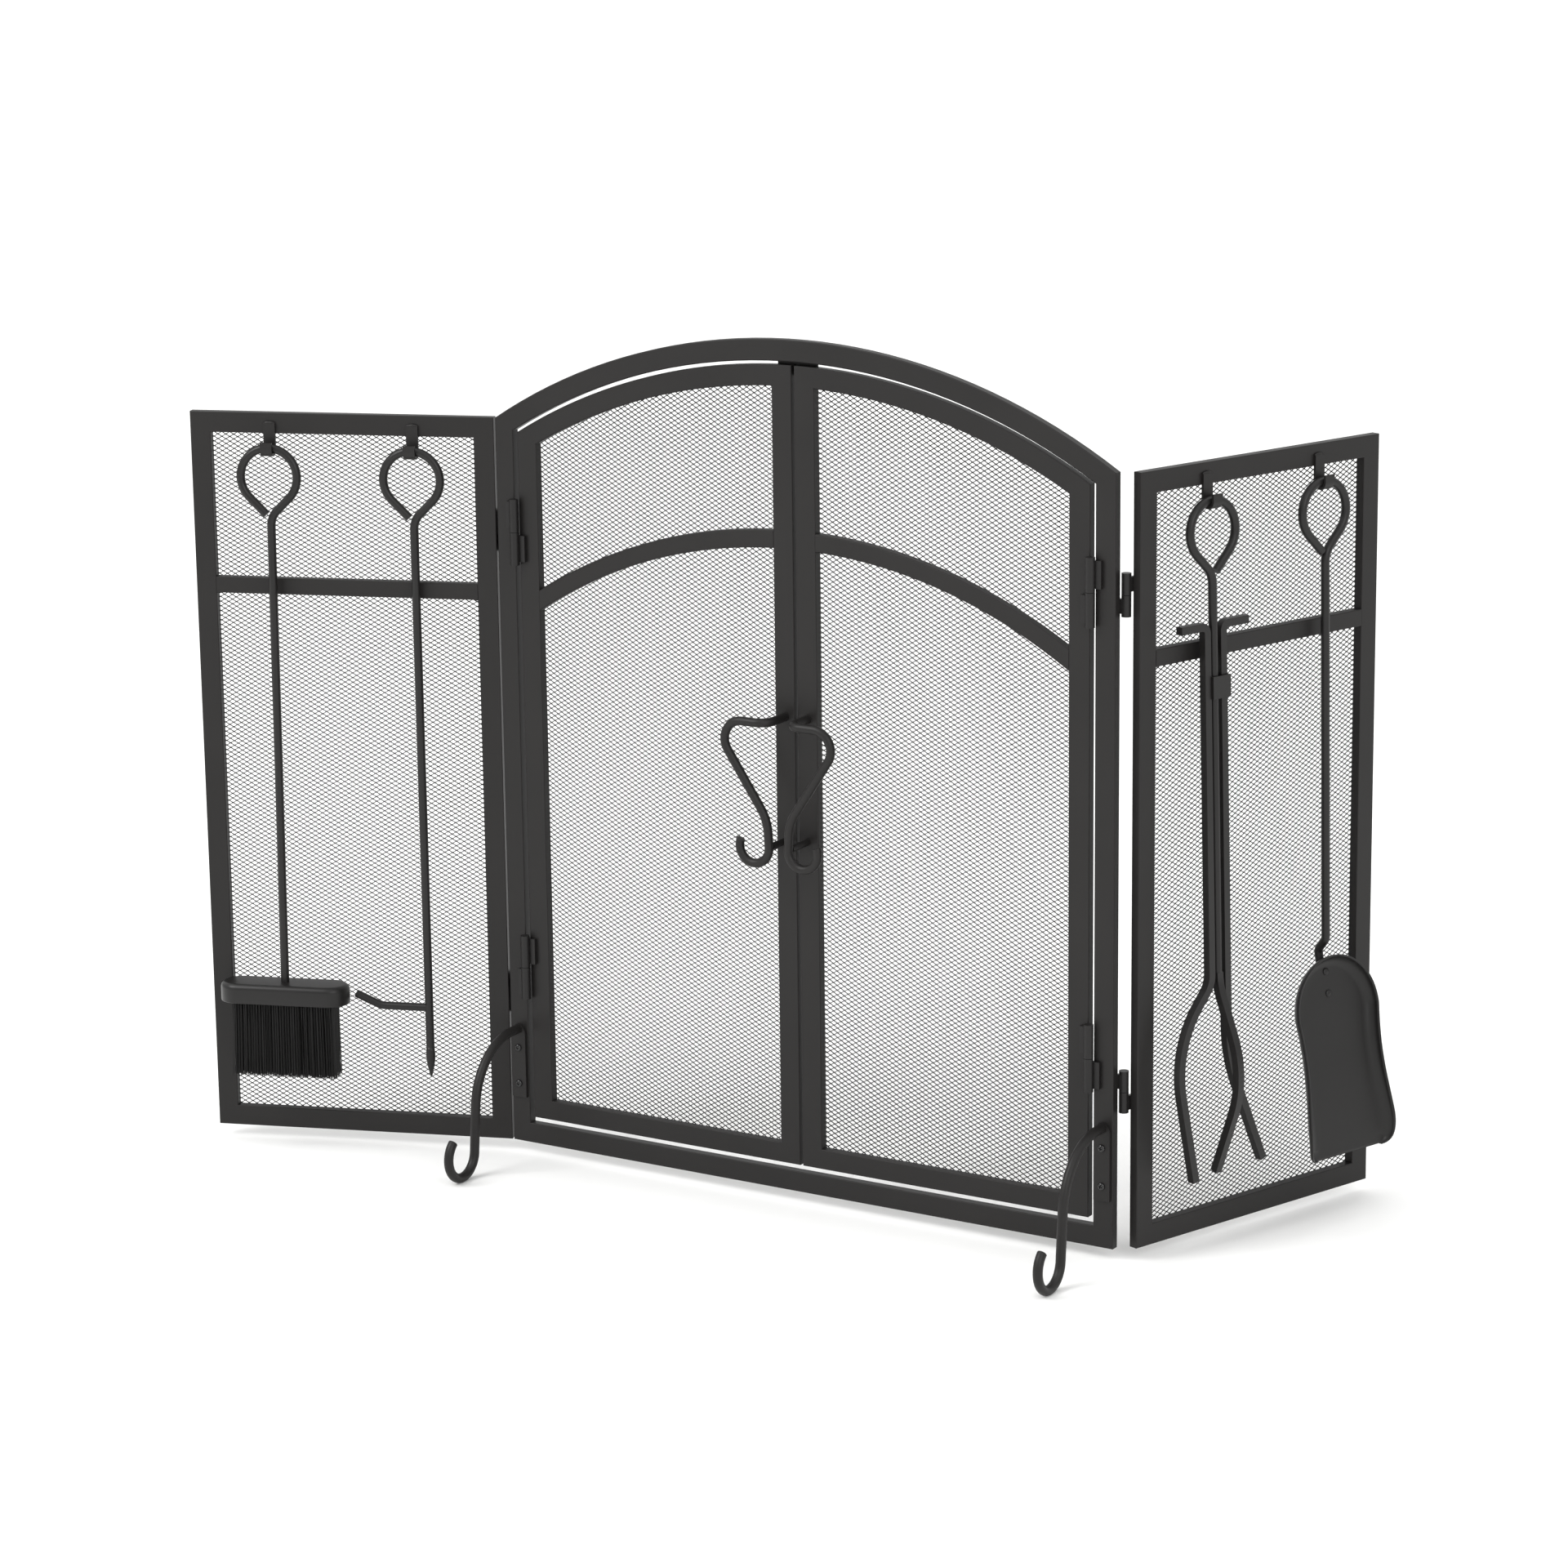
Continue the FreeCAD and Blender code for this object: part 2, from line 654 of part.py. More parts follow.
def hook(label, x, placement):
    """Flat strip welded to the top rail, turned forward and up into a J that holds a tool's loop."""
    thick = size("hook_thick")
    inner = hook_inner_radius
    outer = inner + thick
    top = shoulder - bar_width / 2
    lip = hook_centre + size("hook_lip")
    points = [(Size.of(0), top), (Size.of(0), hook_centre), (-outer, hook_centre - outer),
              (-2 * outer, hook_centre), (-2 * outer, lip), (thick - 2 * outer, lip),
              (thick - 2 * outer, hook_centre), (-outer, hook_centre - inner), (-thick, hook_centre),
              (-thick, top)]
    body = doc.addObject("PartDesign::Body", label)
    half = size("hook_width") / 2
    sketch = new_sketch(body, "outline", "YZ_Plane", x - half)
    draw_chain(sketch, points, {1: (outer, -1), 2: (outer, -1), 6: (inner, 1), 7: (inner, 1)}, True)
    pad(body, sketch, size("hook_width"))
    node(body, label, placement)


# ---------------------------------------------------------------- tools

def leaning(x, standoff, foot_height, placement):
    """Placement of a tool that hangs in its hook and stands off the wing by standoff at its foot."""
    drop = hook_centre.value - foot_height.value
    angle = math.degrees(math.atan2(standoff.value - hook_plane.value, drop))
    pivot = Vector(x.value, -hook_plane.value, hook_centre.value)
    lean = FreeCAD.Placement(Vector(), FreeCAD.Rotation(Vector(1, 0, 0), -angle), pivot)
    return placement.multiply(lean)


def loop_path(hook_x, turn, foot_height):
    """Rod that climbs to a teardrop loop. turn +1 rises on the +X side of the loop, -1 on the -X side."""
    slope = size("loop_slope")
    loop = size("loop_radius")
    neck = size("loop_neck_radius")
    cross = size("loop_end_gap")
    side = rod * 0.3
    centre_z = hook_centre + size("loop_rise") - loop
    neck_across = neck * (1 - sine(slope))
    slant = (loop * sine(slope) - side - neck_across) / cosine(slope)
    neck_z = centre_z - loop * cosine(slope) - slant * sine(slope) - neck * cosine(slope)
    double = 2 * slope
    tail = (2 * loop * sine(slope) * sine(slope) - rod * (1 - cosine(double)) - cross) / sine(double)
    path = Path((hook_x + turn * side, foot_height), 90)
    path.run(neck_z - foot_height)
    path.bend(neck, -turn * (90 - slope))
    path.run(slant)
    path.bend(loop, turn * (180 + 2 * (90 - slope)))
    path.run(tail)
    return path


def looped_rod(body, hook_x, turn, foot_height):
    """Adds the rod with its loop to a body and gives the rod's X below the loop."""
    path = loop_path(hook_x, turn, foot_height)
    centre = path.points[0][0]
    add_pipe(body, path, "XZ_Plane", hook_plane, "XY_Plane", foot_height,
             round_section((centre, -hook_plane), rod))
    return centre


def brush(x, placement):
    top = ground + size("cap_top")
    depth = size("cap_depth")
    place = leaning(x, depth / 2 + size("cap_standoff"), top, placement)
    body = doc.addObject("PartDesign::Body", "brush_rod")
    centre = looped_rod(body, x, 1, top)
    node(body, "brush_rod", place)
    width = size("cap_width")
    height = size("cap_height")
    cap = doc.addObject("PartDesign::Body", "brush_cap")
    half = (width - depth) / 2
    sketch = new_sketch(cap, "outline", "XY_Plane", top - height)
    front, back = -hook_plane - depth / 2, -hook_plane + depth / 2
    draw_chain(sketch, [(centre - half, front), (centre + half, front),
                        (centre + half + depth / 2, -hook_plane), (centre + half, back),
                        (centre - half, back), (centre - half - depth / 2, -hook_plane)],
               {1: (depth / 2, 1), 2: (depth / 2, 1), 4: (depth / 2, 1), 5: (depth / 2, 1)}, True)
    block = pad(cap, sketch, height)
    doc.recompute()
    rim = [f"Edge{number}" for number, edge in enumerate(block.Shape.Edges, start=1)
           if min(v.Point.z for v in edge.Vertexes) > (top - height / 2).value]
    rounded = cap.newObject("PartDesign::Fillet", "rounded_top")
    rounded.Base = (block, rim)
    bind(rounded, "Radius", size("cap_edge"))
    node(cap, "brush_cap", place)
    deep = size("bristle_depth")
    wide = size("bristle_width")
    long = size("bristle_length")
    bristles = box((centre - wide / 2, -hook_plane - deep / 2, top - height - long), (wide, deep, long))
    node(bristles, "brush_bristles", place)


def poker(x, placement):
    """Straight rod drawn to a point, with a side prong for hooking logs."""
    tip = ground + size("poker_tip_height")
    taper = size("poker_taper")
    body = doc.addObject("PartDesign::Body", "poker_bar")
    centre = looped_rod(body, x, 1, tip + taper)
    prong = Path((centre, ground + size("prong_height")), 180)
    prong.run(size("prong_run")).bend(size("prong_bend_radius"), -size("prong_bend_angle"))
    prong.run(size("prong_end_run"))
    add_pipe(body, prong, "XZ_Plane", hook_plane, "YZ_Plane", centre,
             round_section((-hook_plane, ground + size("prong_height")), rod * 0.95))
    node(body, "poker_bar", placement)
    point = doc.addObject("Part::Cone", "point")
    bind(point, "Radius1", size("poker_tip_radius"))
    bind(point, "Radius2", rod)
    bind(point, "Height", taper)
    for axis, amount in zip("xyz", (centre, -hook_plane, tip)):
        bind(point, f"Placement.Base.{axis}", amount)
    node(point, "poker_point", placement)


def tongs(x, placement):
    """Three bars: the middle one carries the loop, the outer two finger tabs, and a collar ties two.

    Below the collar the bars part into three claws: the left arm's bows left, the rod's bows forward
    and the right arm's reaches right.
    """
    side = size("tongs_bar_side")
    split = ground + size("bundle_end")
    place = leaning(x, size("tongs_standoff"), split, placement)

    def square_at(across):
        return square_section((across, -hook_plane), side)

    body = doc.addObject("PartDesign::Body", "tongs_rod")
    centre = looped_rod(body, x, -1, split)
    claw = Path((-hook_plane, split), -90)
    claw.bend(size("middle_claw_bend"), -size("middle_claw_turn")).run(size("middle_claw_run"))
    claw.bend(size("claw_bow"), size("middle_claw_return")).run(size("middle_claw_tip"))
    add_pipe(body, claw, "YZ_Plane", centre, "XY_Plane", split, square_at(centre))
    node(body, "tongs_rod", place)
    step = rod + side / 2 + size("tongs_bar_gap")
    tab_z = shoulder - size("tab_drop")
    bend = size("tab_bend_radius")
    for name, sign in (("left", -1), ("right", 1)):
        across = centre + sign * step
        arm = doc.addObject("PartDesign::Body", f"tongs_{name}_arm")
        finger = Path((across, split), 90)
        finger.run(tab_z - split - bend).bend(bend, -sign * 90).run(size("tab_run"))
        add_pipe(arm, finger, "XZ_Plane", hook_plane, "XY_Plane", split, square_at(across))
        claw = Path((across, split), -90)
        if sign < 0:
            claw.bend(size("left_claw_bend"), -size("left_claw_turn")).run(size("left_claw_run"))
            claw.bend(size("claw_bow"), size("left_claw_return"))
        else:
            claw.run(size("right_claw_run")).bend(size("right_claw_bend"), size("right_claw_turn"))
        claw.run(size("claw_tip"))
        add_pipe(arm, claw, "XZ_Plane", hook_plane, "XY_Plane", split, square_at(across))
        node(arm, f"tongs_{name}_arm", place)
    wall = size("collar_wall")
    clear = size("collar_clearance")
    inside_left = centre - rod - clear
    inside_right = centre + step + side / 2 + clear
    depth = rod + clear
    collar_z = shoulder - size("collar_drop")
    length = size("collar_length")
    inside_width = inside_right - inside_left
    shell = box((inside_left - wall, -hook_plane - depth - wall, collar_z),
                (inside_width + 2 * wall, 2 * depth + 2 * wall, length))
    hole = box((inside_left, -hook_plane - depth, collar_z), (inside_width, 2 * depth, length))
    node(cut(shell, hole), "tongs_collar", place)


def shovel(x, placement):
    """Rod that jogs back above the pan and is riveted to the back of a scoop with a raised rim."""
    neck = ground + size("shovel_neck")
    tilt = size("pan_tilt")
    place = leaning(x, size("shovel_standoff"), neck, placement)
    body = doc.addObject("PartDesign::Body", "shovel_rod")
    centre = looped_rod(body, x, 1, neck)
    jog = Path((-hook_plane, neck), -90)
    jog.bend(size("jog_radius"), size("jog_angle")).run(size("jog_run"))
    jog.bend(size("jog_radius"), -(size("jog_angle") + tilt))
    heel_y, heel_z = jog.points[-1]
    jog.run(size("shovel_tail"))
    add_pipe(body, jog, "YZ_Plane", centre, "XY_Plane", neck, round_section((centre, -hook_plane), rod))
    node(body, "shovel_rod", place)
    top = ground + size("pan_top")
    seat = rod + size("pan_seat")
    below = (heel_z + seat * sine(tilt) - top) / cosine(tilt)
    back = -(heel_y - below * sine(tilt) - seat * cosine(tilt))
    pivot = Vector(centre.value, -back.value, top.value)
    turned = FreeCAD.Placement(Vector(), FreeCAD.Rotation(Vector(1, 0, 0), -tilt.value), pivot)
    turned = place.multiply(turned)
    node(shovel_pan(centre, top, back), "shovel_pan", turned)
    heads = []
    lie_forward = FreeCAD.Rotation(Vector(1, 0, 0), 90)
    for drop in ("rivet_high", "rivet_low"):
        heads.append(cylinder(size("rivet_radius"), size("rivet_head"), centre,
                              -(back + size("pan_thick")), top - size(drop), lie_forward))
    node(together(heads), "shovel_rivets", turned)


def shovel_pan(middle, top, back):
    """Scoop drawn upright: a round-topped floor, a rim that runs out at the mouth, rounded corners."""
    thick = size("pan_thick")
    lip = size("pan_lip")
    half = size("pan_width") / 2
    corner = size("mouth_corner")
    wide = half + size("pan_flare")
    mouth = top - size("pan_length")
    crown = top - half
    pan = doc.addObject("PartDesign::Body", "shovel_pan")
    outline = new_sketch(pan, "outline", "XZ_Plane", back)
    draw_chain(outline, [(middle - wide, mouth + corner), (middle - wide + corner, mouth),
                         (middle + wide - corner, mouth), (middle + wide, mouth + corner),
                         (middle + half, crown), (middle, top), (middle - half, crown)],
               {0: (corner, 1), 2: (corner, 1), 4: (half, 1), 5: (half, 1)}, True)
    pad(pan, outline, lip)
    hollow = new_sketch(pan, "hollow", "XZ_Plane", back + lip)
    inner = half - thick
    open_wide = wide - thick
    draw_chain(hollow, [(middle - open_wide, mouth - thick), (middle + open_wide, mouth - thick),
                        (middle + inner, crown), (middle, top - thick), (middle - inner, crown)],
               {2: (inner, 1), 3: (inner, 1)}, True)
    scoop = pan.newObject("PartDesign::Pocket", "scoop")
    scoop.Profile = hollow
    bind(scoop, "Length", lip - thick)
    slope = new_sketch(pan, "slope", "YZ_Plane", middle + wide + thick)
    floor_y, rim_y = -(back + thick), -(back + lip)
    draw_chain(slope, [(floor_y, mouth - thick), (floor_y, mouth), (rim_y, mouth + size("mouth_run")),
                       (rim_y - thick, mouth + size("mouth_run")), (rim_y - thick, mouth - thick)], {}, True)
    runout = pan.newObject("PartDesign::Pocket", "rim_runout")
    runout.Profile = slope
    bind(runout, "Length", 2 * (wide + thick))
    return pan


# ---------------------------------------------------------------- assembly

frame_bars()
stop_tab()
for side_name, side_sign in SIDES.items():
    door(side_name, side_sign)
    foot(side_name, side_sign)
foot_screws()
left_turn = fold(-1, size("left_fold").value)
right_turn = fold(1, size("right_fold").value)
wing("left", -1, left_turn)
wing("right", 1, right_turn)
for name, items in FRAME_HINGES.items():
    node(together(items), name)
left_hooks = hook_places(-1)
right_hooks = hook_places(1)
poker(left_hooks["inner"], left_turn)
brush(left_hooks["outer"], left_turn)
tongs(right_hooks["inner"], right_turn)
shovel(right_hooks["outer"], right_turn)

doc.recompute()
for obj in doc.Objects:
    if "Invalid" in obj.State or "Error" in obj.State:
        raise RuntimeError(f"{obj.Label} did not build: {obj.State}")
os.makedirs("parts", exist_ok=True)
for name, obj in NODES.items():
    if obj.Shape.isNull() or not obj.Shape.isValid():
        raise RuntimeError(f"{name} has no valid shape")
for name, obj in NODES.items():
    obj.Shape.exportStep(f"parts/{name}.step")
print(len(NODES), "nodes written")
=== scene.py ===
"""Looks of the folding fireplace screen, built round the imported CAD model.

Everything is in metres in the row frame: the floor at Z 0, the front of the centre frame on the plane
Y 0, facing -Y. The CAD solids carry the frame; the woven and forged details are made here.
"""
import bpy
import bmesh
import json
import math
import random
from mathutils import Matrix, Vector


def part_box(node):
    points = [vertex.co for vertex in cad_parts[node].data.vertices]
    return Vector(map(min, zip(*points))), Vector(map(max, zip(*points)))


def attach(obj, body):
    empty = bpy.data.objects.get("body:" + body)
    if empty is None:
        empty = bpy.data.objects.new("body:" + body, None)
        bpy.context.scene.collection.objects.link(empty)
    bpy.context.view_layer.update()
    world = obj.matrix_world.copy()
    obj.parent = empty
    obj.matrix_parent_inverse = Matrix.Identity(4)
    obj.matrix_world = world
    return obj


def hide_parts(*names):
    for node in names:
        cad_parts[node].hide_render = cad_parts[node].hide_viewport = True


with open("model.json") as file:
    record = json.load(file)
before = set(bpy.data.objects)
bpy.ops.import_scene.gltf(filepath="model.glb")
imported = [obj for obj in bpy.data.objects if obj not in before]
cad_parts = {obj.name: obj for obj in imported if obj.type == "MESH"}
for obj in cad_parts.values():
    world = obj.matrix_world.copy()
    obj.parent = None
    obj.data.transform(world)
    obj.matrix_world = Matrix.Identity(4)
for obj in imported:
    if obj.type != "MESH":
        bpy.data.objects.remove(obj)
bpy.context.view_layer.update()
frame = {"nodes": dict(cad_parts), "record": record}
NODES = frame["nodes"]
MM = 0.001
random.seed(7)

# ---------------------------------------------------------------- mesh helpers

FRONT = Vector((0.5, -0.85, 0))  # between the front of the screen and that of the folded right wing
FACING = 0.2  # a front face's normal has at least this share along FRONT
FAR = 10.0  # beyond any panel
SHORTEST_STRAND = 0.1 * MM


def add_piece(name, verts, faces, body, material, smooth=False):
    """Makes a mesh object that rides on a CAD body and takes the material it is given."""
    mesh = bpy.data.meshes.new(name)
    mesh.from_pydata(verts, [], faces)
    mesh.validate()
    mesh.update()
    if smooth:
        mesh.shade_smooth()
    mesh.materials.append(material)
    piece = bpy.data.objects.new(name, mesh)
    bpy.context.scene.collection.objects.link(piece)
    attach(piece, body)
    return piece


def face_frame(node):
    """Origin and axes (across, up, out) of a flat node, out being its front normal."""
    mesh = NODES[node].data
    best = max((p for p in mesh.polygons if p.normal.dot(FRONT) > FACING), key=lambda p: p.area)
    out = best.normal.copy()
    up = (Vector((0, 0, 1)) - out * out.z).normalized()
    across = up.cross(out)
    origin = mesh.vertices[best.vertices[0]].co.copy()
    return origin, across, up, out


def flat_points(node):
    """A node's corners in its own face frame."""
    origin, across, up, out = face_frame(node)
    return [((v.co - origin).dot(across), (v.co - origin).dot(up), (v.co - origin).dot(out))
            for v in NODES[node].data.vertices]


def hull(points):
    """Convex outline of 2-D points, anticlockwise."""
    points = sorted(set((round(x, 6), round(y, 6)) for x, y in points))

    def half(sequence):
        chain = []
        for p in sequence:
            while len(chain) > 1:
                (ax, ay), (bx, by) = chain[-2], chain[-1]
                if (bx - ax) * (p[1] - ay) - (by - ay) * (p[0] - ax) > 0:
                    break
                chain.pop()
            chain.append(p)
        return chain[:-1]
    return half(points) + half(points[::-1])


def clip(outline, start, direction):
    """Stretch of an endless line inside a convex outline, as two distances, or None."""
    low, high = -FAR, FAR
    for (ax, ay), (bx, by) in zip(outline, outline[1:] + outline[:1]):
        nx, ny = ay - by, bx - ax
        speed = nx * direction[0] + ny * direction[1]
        gap = nx * (start[0] - ax) + ny * (start[1] - ay)
        if abs(speed) < 1e-12:  # parallel to this side
            if gap < 0:
                return None
            continue
        t = -gap / speed
        if speed > 0:
            low = max(low, t)
        else:
            high = min(high, t)
    return (low, high) if high - low > SHORTEST_STRAND else None


# ---------------------------------------------------------------- materials


def node_material(name):
    """A new material with its node tree and shader."""
    material = bpy.data.materials.new(name)
    material.use_nodes = True
    tree = material.node_tree
    return material, tree, tree.nodes["Principled BSDF"]


def link(tree, source, target):
    tree.links.new(source, target)


TONE_DRIFT, GLOSS_DRIFT = 0.14, 0.05
DRIFT_SCALE, DRIFT_DETAIL, PEEL_DETAIL = 9, 4, 3
PEEL_DEPTH = 0.2 * MM


def powder_coat(name, colour, rough, grain, bump, gleam=0.3):
    """Satin black powder coat: a fine orange-peel grain with slight drift in tone and gloss."""
    material, tree, shader = node_material(name)
    coords = tree.nodes.new("ShaderNodeTexCoord")
    drift = tree.nodes.new("ShaderNodeTexNoise")
    drift.inputs["Scale"].default_value = DRIFT_SCALE
    drift.inputs["Detail"].default_value = DRIFT_DETAIL
    link(tree, coords.outputs["Object"], drift.inputs["Vector"])
    tone = tree.nodes.new("ShaderNodeValToRGB")
    tone.color_ramp.elements[0].position = 0.3
    tone.color_ramp.elements[1].position = 0.7
    tone.color_ramp.elements[0].color = (*[c * (1 - TONE_DRIFT) for c in colour], 1)
    tone.color_ramp.elements[1].color = (*[c * (1 + TONE_DRIFT) for c in colour], 1)
    link(tree, drift.outputs["Fac"], tone.inputs["Fac"])
    link(tree, tone.outputs["Color"], shader.inputs["Base Color"])
    gloss = tree.nodes.new("ShaderNodeMapRange")
    gloss.inputs["To Min"].default_value = rough - GLOSS_DRIFT
    gloss.inputs["To Max"].default_value = rough + GLOSS_DRIFT
    link(tree, drift.outputs["Fac"], gloss.inputs["Value"])
    link(tree, gloss.outputs["Result"], shader.inputs["Roughness"])
    peel = tree.nodes.new("ShaderNodeTexNoise")
    peel.inputs["Scale"].default_value = grain
    peel.inputs["Detail"].default_value = PEEL_DETAIL
    link(tree, coords.outputs["Object"], peel.inputs["Vector"])
    raised = tree.nodes.new("ShaderNodeBump")
    raised.inputs["Strength"].default_value = bump
    raised.inputs["Distance"].default_value = PEEL_DEPTH
    link(tree, peel.outputs["Fac"], raised.inputs["Height"])
    link(tree, raised.outputs["Normal"], shader.inputs["Normal"])
    shader.inputs["Specular IOR Level"].default_value = gleam
    return material


COAT = powder_coat("frame_powder_coat", (0.0110, 0.0100, 0.0096), 0.44, 1400, 0.25, 0.28)
TOOL = powder_coat("tool_powder_coat", (0.0095, 0.0088, 0.0085), 0.36, 1700, 0.15, 0.32)
HINGE = powder_coat("hinge_powder_coat", (0.0100, 0.0092, 0.0090), 0.40, 1500, 0.2)
MESH = powder_coat("mesh_coat", (0.010, 0.0095, 0.0092), 0.6, 900, 0.1)
SCREW = powder_coat("screw_enamel", (0.006, 0.006, 0.006), 0.14, 800, 0.03, 0.6)
BRISTLE = powder_coat("bristle_fibre", (0.0060, 0.0058, 0.0055), 0.5, 600, 0.1, 0.3)
FINISH = {"frame_coat": COAT, "tool_coat": TOOL, "hinge_coat": HINGE, "mesh_wire": MESH,
          "screw_enamel": SCREW, "bristle_fibre": BRISTLE}

slots = {part["node"]: part["material_slot"] for part in frame["record"]["subparts"]}
for name, obj in NODES.items():
    obj.data.materials.clear()
    obj.data.materials.append(FINISH[slots[name]])

# ---------------------------------------------------------------- mesh panels

DIAMOND_WIDTH = 7.74 * MM
DIAMOND_HEIGHT = 4.52 * MM
STRAND_WIDTH = 0.72 * MM
STRAND_DEPTH = 0.5 * MM
BOND = Vector((1.5, 0.66, 0.42)) * MM  # half sizes across, up and out
BOND_INSET = 2 * MM  # how far the bonds' outline is drawn in across, towards the face's origin

NEAR_ORIGIN = 10 * MM  # nearer than this the inset shrinks in proportion


def mesh_panel(node, body):
    """Expanded metal: two families of slanting strands with a thicker bond where they cross."""
    origin, across, up, out = face_frame(node)
    points = flat_points(node)
    outline = hull([(x, y) for x, y, _ in points])
    deep = [z for _, _, z in points]
    middle = (min(deep) + max(deep)) / 2
    left, right = min(x for x, _ in outline), max(x for x, _ in outline)
    low, high = min(y for _, y in outline), max(y for _, y in outline)
    slope = DIAMOND_HEIGHT / DIAMOND_WIDTH
    length = math.hypot(1, slope)
    verts, faces = [], []

    def place(x, y, z):
        return origin + across * x + up * y + out * z

    for sign in (-1, 1):
        direction = (1 / length, sign * slope / length)
        side = (-direction[1] * STRAND_WIDTH / 2, direction[0] * STRAND_WIDTH / 2)
        reach = (right - left) * slope
        first = math.floor((low - reach - max(sign * left * slope, sign * right * slope)) / DIAMOND_HEIGHT)
        last = math.ceil((high + reach - min(sign * left * slope, sign * right * slope)) / DIAMOND_HEIGHT)
        for step in range(first, last + 1):
            start = (0.0, step * DIAMOND_HEIGHT)
            span = clip(outline, start, direction)
            if span is None:
                continue
            base = len(verts)
            for t in span:
                x, y = start[0] + direction[0] * t, start[1] + direction[1] * t
                for a, b in ((-1, -1), (1, -1), (1, 1), (-1, 1)):
                    verts.append(place(x + a * side[0], y + a * side[1],
                                       middle + b * STRAND_DEPTH / 2))
            faces += [(base, base + 1, base + 2, base + 3), (base + 7, base + 6, base + 5, base + 4)]
            faces += [(base + k, base + 4 + k, base + 4 + (k + 1) % 4, base + (k + 1) % 4)
                      for k in range(4)]
    inner = [(x * (1 - BOND_INSET / max(abs(x), NEAR_ORIGIN)), y) for x, y in outline]
    columns = range(math.floor(left / DIAMOND_WIDTH * 2), math.ceil(right / DIAMOND_WIDTH * 2) + 1)
    for column in columns:
        x = column * DIAMOND_WIDTH / 2
        span = clip(inner, (x, 0.0), (0.0, 1.0))
        if span is None:
            continue
        rows = range(math.ceil(span[0] / DIAMOND_HEIGHT * 2),
                     math.floor(span[1] / DIAMOND_HEIGHT * 2) + 1)
        for row in rows:
            if (row + column) % 2:  # bonds lie only where strands cross
                continue
            y = row * DIAMOND_HEIGHT / 2
            base = len(verts)
            verts += [place(x - BOND.x, y, middle), place(x + BOND.x, y, middle),
                      place(x, y - BOND.y, middle), place(x, y + BOND.y, middle),
                      place(x, y, middle - BOND.z), place(x, y, middle + BOND.z)]
            for a in (0, 1):
                for b in (2, 3):
                    for c in (4, 5):
                        ring = (base + a, base + b, base + c)
                        faces.append(ring if (a + b + c) % 2 else ring[::-1])
    piece = add_piece(node + "_strands", verts, faces, body, MESH)
    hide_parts(node)


for side in ("left", "right"):
    mesh_panel(f"{side}_wing_mesh", f"{side}_wing")
    mesh_panel(f"{side}_door_mesh", f"{side}_door")

# ---------------------------------------------------------------- forged and pressed details


def ring_faces(rings, sides, base=0):
    """Quads that join each closed ring of points to the next one."""
    return [(base + ring * sides + k, base + ring * sides + (k + 1) % sides,
             base + (ring + 1) * sides + (k + 1) % sides, base + (ring + 1) * sides + k)
            for ring in range(rings - 1) for k in range(sides)]


def turned(name, profile, origin, along, body, material, sides=28):
    """A piece turned about a line: profile lists (distance along it, radius)."""
    along = along.normalized()
    first = along.orthogonal().normalized()
    second = along.cross(first)
    verts, faces = [], []
    for distance, radius in profile:
        for k in range(sides):
            angle = 2 * math.pi * k / sides
            spoke = first * math.cos(angle) + second * math.sin(angle)
            verts.append(origin + along * distance + spoke * radius)
    faces += ring_faces(len(profile), sides)
    faces.append(tuple(range(sides))[::-1])
    faces.append(tuple(range((len(profile) - 1) * sides, len(profile) * sides)))
    return add_piece(name, verts, faces, body, material, True)


BEAD_RIPPLE, BEAD_RIPPLES, BEAD_ROUGHNESS = 0.10, 7, 0.03


def weld_bead(name, centre, axes, radii, body):
    """A lumpy bead of weld metal: an ellipsoid with ripples across its length."""
    mesh = bmesh.new()
    bmesh.ops.create_icosphere(mesh, subdivisions=3, radius=1)
    phase = random.uniform(0, 6)
    verts = []
    for v in mesh.verts:
        ripple = 1 + BEAD_RIPPLE * math.sin(v.co.x * BEAD_RIPPLES + phase)
        ripple += random.uniform(-BEAD_ROUGHNESS, BEAD_ROUGHNESS)
        local = [v.co.x * radii[0], v.co.y * radii[1] * ripple, v.co.z * radii[2] * ripple]
        verts.append(centre + axes[0] * local[0] + axes[1] * local[1] + axes[2] * local[2])
    faces = [tuple(v.index for v in f.verts) for f in mesh.faces]
    mesh.free()
    return add_piece(name, verts, faces, body, COAT, True)


def extent(node):
    """A flat node's face frame with its lowest and highest corner in that frame."""
    origin, across, up, out = face_frame(node)
    points = flat_points(node)
    low = [min(p[k] for p in points) for k in range(3)]
    high = [max(p[k] for p in points) for k in range(3)]
    return origin, (across, up, out), low, high


BRISTLES = 4200
BRISTLE_RADIUS = 0.24 * MM
BRISTLE_TAPER = 0.35
BRISTLE_RINGS, BRISTLE_SIDES = 4, 3
BRISTLE_BOW = 0.25 * MM
BRISTLE_CUT = 1.6 * MM  # spread of the tips' heights, times one of the next three
CUT_SPREAD = (0.5, 1, 1.6)
BRISTLE_TURN = 40  # radians over half the block's width
ROOT_SHARE, TIP_SHARE = 0.965, 0.99  # of the block's half width, at the cap and at the tips


